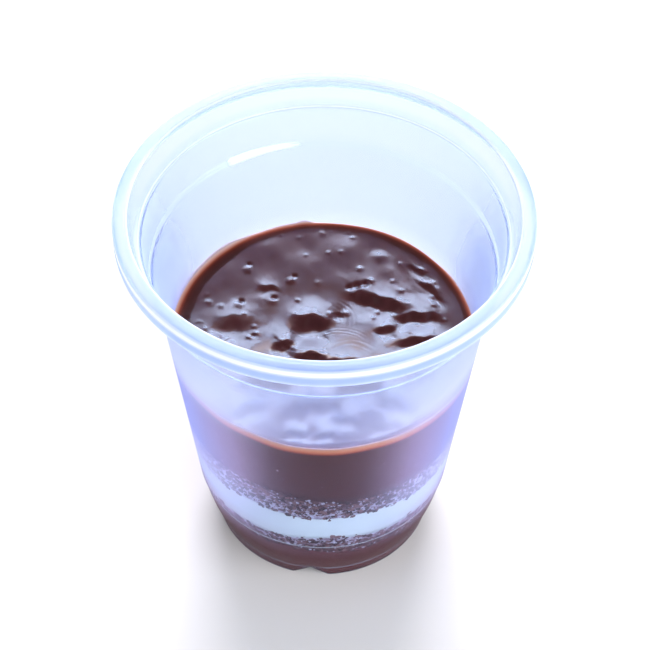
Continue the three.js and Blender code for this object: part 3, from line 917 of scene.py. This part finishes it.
def loose_crumb():
    """Crumbs of dark cake, each a little lighter or darker than the next."""
    n = Material("loose_crumb")
    island = n.add("NewGeometry").outputs["Random Per Island"]
    return n.dull(n.ramp(island, (
        (0.0, (0.018, 0.005, 0.005)), (0.5, (0.062, 0.020, 0.020)), (1.0, (0.24, 0.115, 0.115)),
    )), 0.8)


def white_cream():
    n = Material("white_cream")
    return n.dull(n.blend(n.noise(120, 2.0), (0.71, 0.77, 0.78), (0.79, 0.84, 0.83)), 0.5)


def smeared_cream():
    """Cream smeared thinly over crumbs."""
    n = Material("smeared_cream")
    return n.dull(n.blend(n.noise(300, 2.0), (0.36, 0.31, 0.40), (0.55, 0.53, 0.64)), 0.6)


def air_bubble():
    """Thin pale skin of chocolate over a bubble."""
    n = Material("air_bubble")
    return n.dull(n.blend(n.noise(500, 2.0), (0.28, 0.19, 0.21), (0.44, 0.32, 0.35)), 0.5)


def pale_floor():
    n = Material("floor")
    return n.dull((0.77, 0.75, 0.73), 0.95, 0.5)


# Pieces


def mark(piece, name, values):
    """Stores one number per vertex for the material."""
    attribute = piece.data.attributes.new(name, "FLOAT", "POINT")
    attribute.data.foreach_set("value", np.asarray(values, np.float32))


def vectors(items, name):
    """One vector of each vertex or face."""
    flat = np.zeros(len(items) * 3)
    items.foreach_get(name, flat)
    return flat.reshape(-1, 3)


def points_of(piece):
    """The piece's vertices in millimetres, with their radius and azimuth."""
    points = vectors(piece.data.vertices, "co") / MM
    return points, *polar(points)


def painted_highlight_streak(z, azimuth):
    """Strength of the painted highlight streak on the lower ledge, a crescent that widens to one
    side.
    """
    around = np.degrees(azimuth % TAU)
    along = smooth(around, STREAK_START, STREAK_FULL)
    along *= 1 - smooth(around, STREAK_END - STREAK_END_FADE, STREAK_END)
    half_width = STREAK_HALF_WIDTH + STREAK_HALF_GROWTH * smooth(around, STREAK_START, STREAK_END)
    return along * soft_line(CUP_HEIGHT - z - STREAK_DEPTH, half_width)


def mark_milk_and_highlights(cup):
    """Marks how milky the plastic is, and how white that is: painted highlights in white along the
    rim's edges, bluer on its flats, and pale painted highlights on the rings low on the wall and in
    the streak at the back."""
    points, radius, azimuth = points_of(cup)
    z = points[:, 2]
    depth = CUP_HEIGHT - z
    outside = smooth(radius, RIM_RADIUS - 0.5, RIM_RADIUS - 0.2)
    # Painted highlights at the mouth's edge, the rim's shoulder and the skirt's foot, and the
    # painted highlight streak on the ledge
    mouth = soft_line(np.hypot(radius - MOUTH_RADIUS, depth), MOUTH_ROUNDING)
    shoulder = outside * soft_line(depth - SHOULDER_LINE[0], SHOULDER_LINE[1], SHOULDER_LINE_POWER)
    skirt_foot = outside * soft_line(depth - SKIRT_LINE[0], SKIRT_LINE[1])
    streak = painted_highlight_streak(z, azimuth)
    painted_highlights = np.clip(shoulder + mouth + SKIRT_HIGHLIGHT_SHARE * skirt_foot + streak, 0, 1)

    top = (1 - smooth(depth, 0.2, 0.6)) * smooth(radius, MOUTH_RADIUS, MOUTH_RADIUS + 0.4)
    skirt = outside * (depth < SKIRT_DEPTH + 0.1) * (1 - smooth(-np.cos(azimuth), 0.2, 0.8))
    ledge = (radius < UPPER_LEDGE_OUTER + WALL / 2) * (depth > 3)
    ledge = ledge * soft_line(depth - LEDGE_LINE[0], LEDGE_LINE[1])
    flats = np.maximum.reduce((TOP_MILK * top, SKIRT_MILK * skirt, LEDGE_MILK * ledge))

    # Painted highlights on the rings low on the wall
    rings = soft_line(z - RING_LINE[0], RING_LINE[1])
    rings += FOOT_LINE_SHARE * soft_line(z - FOOT_LINE[0], FOOT_LINE[1])
    mark(cup, "milk_and_highlights", np.clip(np.maximum(flats, HIGHLIGHT_MILK * painted_highlights) + RING_MILK * rings, 0, 1))
    mark(cup, "milk_and_highlight_tone", np.clip(painted_highlights + RING_TONE * rings + STREAK_TONE * streak + ledge, 0, 1))


def make_cup(material):
    """The cup's outer side, up to the rim and over it, and its inner side, from the mouth down."""
    outer = rounded(foot_corners(0) + wall_corners(0) + ledge_corners(WALL) + rim_corners()
                    + [(UPPER_LEDGE_OUTER, CUP_HEIGHT - UPPER_LEDGE_DEPTH, 0)])
    inner = rounded(foot_corners(WALL) + wall_corners(WALL) + ledge_corners(0)
                    + [(MOUTH_RADIUS, CUP_HEIGHT, 0)])
    outside = raise_grooves(turn(outer[1:-1], CUP_SEGMENTS), 0)
    inside = raise_grooves(turn(inner[1:-1], CUP_SEGMENTS), WALL)
    cup = make_mesh("cup_shell", np.concatenate((outside, inside[::-1])), material)
    inner_side = np.zeros(len(cup.data.vertices))
    inner_side[len(outside) * CUP_SEGMENTS :] = 1
    mark(cup, "inner_side", inner_side)
    mark_milk_and_highlights(cup)
    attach(cup, "root")
    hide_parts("cup")


def fill(piece, node):
    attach(piece, "root")
    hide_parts(node)
    return piece


def make_base_chocolate(material):
    """The lowest layer, whose floor follows the cup's, grooves and all."""
    inset = WALL - WALL_OVERLAP
    bed = np.array([(x, z) for x, z, _ in foot_corners(inset)])
    reach = bed[-1, 0]
    floor = lambda share, azimuth: np.interp(share * reach, bed[:, 0], bed[:, 1])
    rings = [INNERMOST, *(bed[1:, 0] / reach)]
    piece = layer("base_chocolate_fill", material, floor, between(BASE_TOP), rings, BASE_ROWS)
    points = raise_grooves(points_of(piece)[0], inset) * MM
    piece.data.vertices.foreach_set("co", points.ravel())
    return fill(piece, "base_chocolate")


def make_middle_layer(node, below, above, material):
    piece = layer(node + "_fill", material, between(below), between(above))
    return fill(piece, node)


def rise_in_layer(piece, below, above):
    """How far up its layer each vertex lies, from zero to one, and the vertices' azimuths."""
    points, _, azimuth = points_of(piece)
    bottom, top = layer_height(below, 1.0, azimuth), layer_height(above, 1.0, azimuth)
    return (points[:, 2] - bottom) / (top - bottom), azimuth


def make_lower_crumb(material):
    piece = make_middle_layer("lower_crumb", BASE_TOP, CREAM_FLOOR, material)
    rise, _ = rise_in_layer(piece, BASE_TOP, CREAM_FLOOR)
    mark(piece, "cream_share", np.clip(rise, 0, 1))


def make_upper_crumb(material):
    piece = make_middle_layer("upper_crumb", CREAM_TOP, MOUSSE_FLOOR, material)
    rise, azimuth = rise_in_layer(piece, CREAM_TOP, MOUSSE_FLOOR)
    aside = smooth(np.abs(azimuth), math.radians(CREAM_ASIDE_START), math.radians(CREAM_ASIDE_FULL))
    mark(piece, "cream_share", np.clip(CREAM_SOAK - rise + CREAM_ASIDE * aside, 0, 1))


def set_wall_materials(piece, side, film):
    """Gives other materials to the faces against the wall and to those drawn up towards it."""
    piece.data.materials.append(side)
    piece.data.materials.append(film)
    faces = piece.data.polygons
    normals, centres = vectors(faces, "normal"), vectors(faces, "center") / MM
    radius, azimuth = polar(centres)
    outward = (normals[:, :2] * centres[:, :2]).sum(1) > 0
    steep = np.abs(normals[:, 2]) < STEEP_NORMAL
    on_wall = (radius > fill_radius(centres[:, 2]) - FACE_ON_WALL) & steep & outward
    near_wall = radius > fill_radius(SURFACE_LEVEL) - film_width(azimuth)
    drawn_up = (centres[:, 2] > SURFACE_LEVEL) & near_wall
    faces.foreach_set("material_index", np.where(on_wall, 1, 2 * drawn_up).astype(np.int32))


def make_hazelnut_chocolate(material):
    """The top layer. Its film attribute rises to one at the thin edge of the film."""
    piece = layer("hazelnut_chocolate_fill", material, between(MOUSSE_FLOOR), surface_height,
                  rows=TOP_ROWS, top_rings=TOP_RINGS, segments=TOP_SEGMENTS)
    points, radius, azimuth = points_of(piece)
    inward = 1 - (fill_radius(SURFACE_LEVEL) - radius) / FILM_WIDTH
    upward = 1 - (film_edge(azimuth) - points[:, 2]) / FILM_FADE
    on_wall = radius > fill_radius(points[:, 2]) - POINT_ON_WALL
    mark(piece, "film", np.clip(np.where(on_wall, upward, inward), 0, 1))
    set_wall_materials(piece, chocolate_side(), chocolate_film())
    return fill(piece, "hazelnut_chocolate")


def icosahedron():
    """Twelve corners and twenty faces of a regular solid, one unit in radius."""
    golden = (1 + math.sqrt(5)) / 2
    corners = []
    for a in (-1, 1):
        for b in (-golden, golden):
            corners += [(0, a, b), (a, b, 0), (b, 0, a)]
    corners = np.array(corners) / math.hypot(1, golden)
    side = 2 / math.hypot(1, golden)
    close = np.abs(np.linalg.norm(corners[:, None] - corners[None], axis=2) - side) < 0.01
    faces = []
    for i, j, k in combinations(range(len(corners)), 3):
        if close[i, j] and close[j, k] and close[i, k]:
            normal = np.cross(corners[j] - corners[i], corners[k] - corners[i])
            faces.append((i, j, k) if np.dot(normal, corners[i]) > 0 else (i, k, j))
    return corners, np.array(faces)


def lump_sizes(rng, count, kind):
    """Half the length and half the breadth of each lump, more of them small than large."""
    length = kind.smallest + (kind.largest - kind.smallest) * rng.uniform(0, 1, count) ** 2
    return np.stack((length, length * rng.uniform(*LUMP_BREADTH, count)), -1)


def scatter_on_wall(name, material, kind, spots, sizes):
    """Small lumps pressed against the wall, one per (azimuth, height) spot, as one mesh."""
    rng = np.random.default_rng(kind.seed)
    corners, faces = icosahedron()
    azimuth, height = spots
    count = len(azimuth)
    out = on_circle(1, azimuth, 0)
    side = np.stack((np.cos(azimuth), np.sin(azimuth), np.zeros(count)), -1)
    up = np.array((0.0, 0.0, 1.0))
    lumps = corners[None] * (1 + kind.roughness * rng.uniform(-1, 1, (count, len(corners), 1)))
    turned = rng.uniform(-LUMP_TURN, LUMP_TURN, (count, 1))
    u, v = lumps[..., 0] * sizes[:, 0, None], lumps[..., 1] * sizes[:, 1, None]
    u, v = u * np.cos(turned) - v * np.sin(turned), u * np.sin(turned) + v * np.cos(turned)
    w = lumps[..., 2] * kind.thickness
    centre = on_circle(fill_radius(height), azimuth, height)
    across = u[..., None] * side[:, None] + v[..., None] * up
    points = centre[:, None] + across + w[..., None] * out[:, None]
    triangles = (faces[None] + len(corners) * np.arange(count)[:, None, None]).reshape(-1, 3)
    mesh = bpy.data.meshes.new(name)
    mesh.from_pydata((points.reshape(-1, 3) * MM).tolist(), [], triangles.tolist())
    piece = add_piece(name, mesh, material)
    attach(piece, "root")


def ragged(azimuth, seed):
    """A ragged line round the cup, about one millimetre up and down."""
    rng = random.Random(seed)
    line = 0 * azimuth
    for lobes in RAGGED_LOBES:
        line = line + RAGGED_HEIGHT * np.sin(lobes * azimuth + rng.uniform(0, TAU))
    return line


def crumb_spots(rng, count, low, high, spread):
    """Azimuths and heights between two layer surfaces, some of them strayed into the cream."""
    azimuth = rng.uniform(-math.pi, math.pi, count)
    cream_side = rng.uniform(0, 1, count) ** CRUMB_CROWDING
    depth = 1 - cream_side if low is CREAM_TOP else cream_side
    bottom, top = layer_height(low, 1.0, azimuth), layer_height(high, 1.0, azimuth)
    stray = rng.normal(0, spread, count) + cream_side * ragged(azimuth, count)
    return azimuth, bottom + depth * (top - bottom) + stray


def make_crumbs(crumb, smear, bubble):
    """Crumbs and smears of cream in both crumb layers, and bubbles in the hazelnut chocolate."""
    rng = np.random.default_rng(SPOT_SEED)
    for name, count, low, high, spread in CRUMBS:
        spots = crumb_spots(rng, count, low, high, spread)
        sizes = lump_sizes(rng, count, CRUMB)
        scatter_on_wall(name, crumb, CRUMB, spots, sizes)
        count //= CRUMBS_PER_SMEAR
        spots = crumb_spots(rng, count, low, high, SMEAR_SPREAD)
        sizes = lump_sizes(rng, count, SMEAR)
        scatter_on_wall(name + "_smears", smear, SMEAR, spots, sizes)
    azimuth = rng.uniform(-math.pi, math.pi, BUBBLE_COUNT)
    spots = azimuth, rng.uniform(*BUBBLE_HEIGHTS, BUBBLE_COUNT)
    sizes = lump_sizes(rng, BUBBLE_COUNT, BUBBLE)
    scatter_on_wall("air_bubbles", bubble, BUBBLE, spots, sizes)


# Camera, floor and lights


def add_camera():
    elevation = math.radians(CAMERA_ELEVATION)
    pitch = math.radians(CAMERA_ELEVATION + CAMERA_DROP)
    data = bpy.data.cameras.new("camera")
    data.sensor_width = SENSOR_WIDTH
    data.lens = FOCAL_PIXELS / PHOTO_WIDTH * SENSOR_WIDTH
    data.shift_x = (PHOTO_WIDTH / 2 - AXIS_COLUMN) / PHOTO_WIDTH
    camera = bpy.data.objects.new("camera", data)
    camera.location = Vector((
        0,
        -CAMERA_DISTANCE * math.cos(elevation),
        CAMERA_DISTANCE * math.sin(elevation) + CUP_HEIGHT,
    )) * MM
    roll = Euler((0, 0, math.radians(CAMERA_ROLL))).to_matrix()
    camera.rotation_euler = (Euler((math.pi / 2 - pitch, 0, 0)).to_matrix() @ roll).to_euler()
    bpy.context.scene.collection.objects.link(camera)
    bpy.context.scene.camera = camera


def add_floor():
    half = FLOOR_HALF
    mesh = bpy.data.meshes.new("floor")
    mesh.from_pydata([(-half, -half, 0), (half, -half, 0), (half, half, 0), (-half, half, 0)], [],
                     [(0, 1, 2, 3)])
    floor = add_piece("floor", mesh, pale_floor())


def add_window(name, azimuth, elevation, width, height, radiance, color):
    """A soft light far off, its place and its size given as angles."""
    data = bpy.data.lights.new(name, "AREA")
    data.shape = "RECTANGLE"
    data.size = 2 * WINDOW_DISTANCE * math.tan(math.radians(width) / 2)
    data.size_y = 2 * WINDOW_DISTANCE * math.tan(math.radians(height) / 2)
    data.energy = radiance * math.pi * data.size * data.size_y
    data.color = color
    light = bpy.data.objects.new(name, data)
    a, e = math.radians(azimuth), math.radians(elevation)
    away = Vector((math.sin(a) * math.cos(e), -math.cos(a) * math.cos(e), math.sin(e)))
    light.location = away * WINDOW_DISTANCE + Vector((0, 0, SURFACE_LEVEL * MM))
    light.rotation_euler = away.to_track_quat("Z", "Y").to_euler()
    bpy.context.scene.collection.objects.link(light)


def by_elevation(stops):
    """Stops by elevation in degrees, as stops by the height of a direction one unit long."""
    return [(math.sin(math.radians(elevation)), color) for elevation, color in stops]


def add_room():
    """A pale room, darker overhead, with a broad glow at the back that fades upwards."""
    world = bpy.data.worlds.new("world")
    world.use_nodes = True
    n = Nodes(world.node_tree)
    direction = n.add("TexCoord").outputs["Generated"]
    upward = n.add("SeparateXYZ", {0: direction}).outputs["Z"]
    room = n.shader("Background", {
        "Color": n.ramp(upward, by_elevation(ROOM)), "Strength": ROOM_STRENGTH,
    })
    level = n.add("VectorMath", {0: direction, 1: (1, 1, 0)}, operation="MULTIPLY").outputs[0]
    heading = n.add("VectorMath", {0: level}, operation="NORMALIZE").outputs[0]
    backward = n.add("SeparateXYZ", {0: heading}).outputs["Y"]
    strength = n.add("MapRange", {
        "Value": backward, "From Min": BACK_GLOW_START, "From Max": BACK_GLOW_FULL,
        "To Max": BACK_GLOW_STRENGTH,
    }, interpolation_type="SMOOTHSTEP").outputs["Result"]
    glow = n.shader("Background", {
        "Color": n.ramp(upward, by_elevation(BACK_GLOW)), "Strength": strength,
    })
    n.add("OutputWorld", {"Surface": n.shader("AddShader", {0: room, 1: glow})})
    bpy.context.scene.world = world


def main():
    add_camera()
    add_floor()
    add_room()
    for window in WINDOWS:
        add_window(**window)
    bpy.context.scene.view_settings.view_transform = "Standard"

    crumb = cake_crumb()
    make_cup(clear_plastic())
    make_base_chocolate(dark_chocolate())
    make_lower_crumb(crumb)
    make_middle_layer("cream", CREAM_FLOOR, CREAM_TOP, white_cream())
    make_upper_crumb(crumb)
    make_hazelnut_chocolate(glossy_chocolate())
    make_crumbs(loose_crumb(), smeared_cream(), air_bubble())


main()
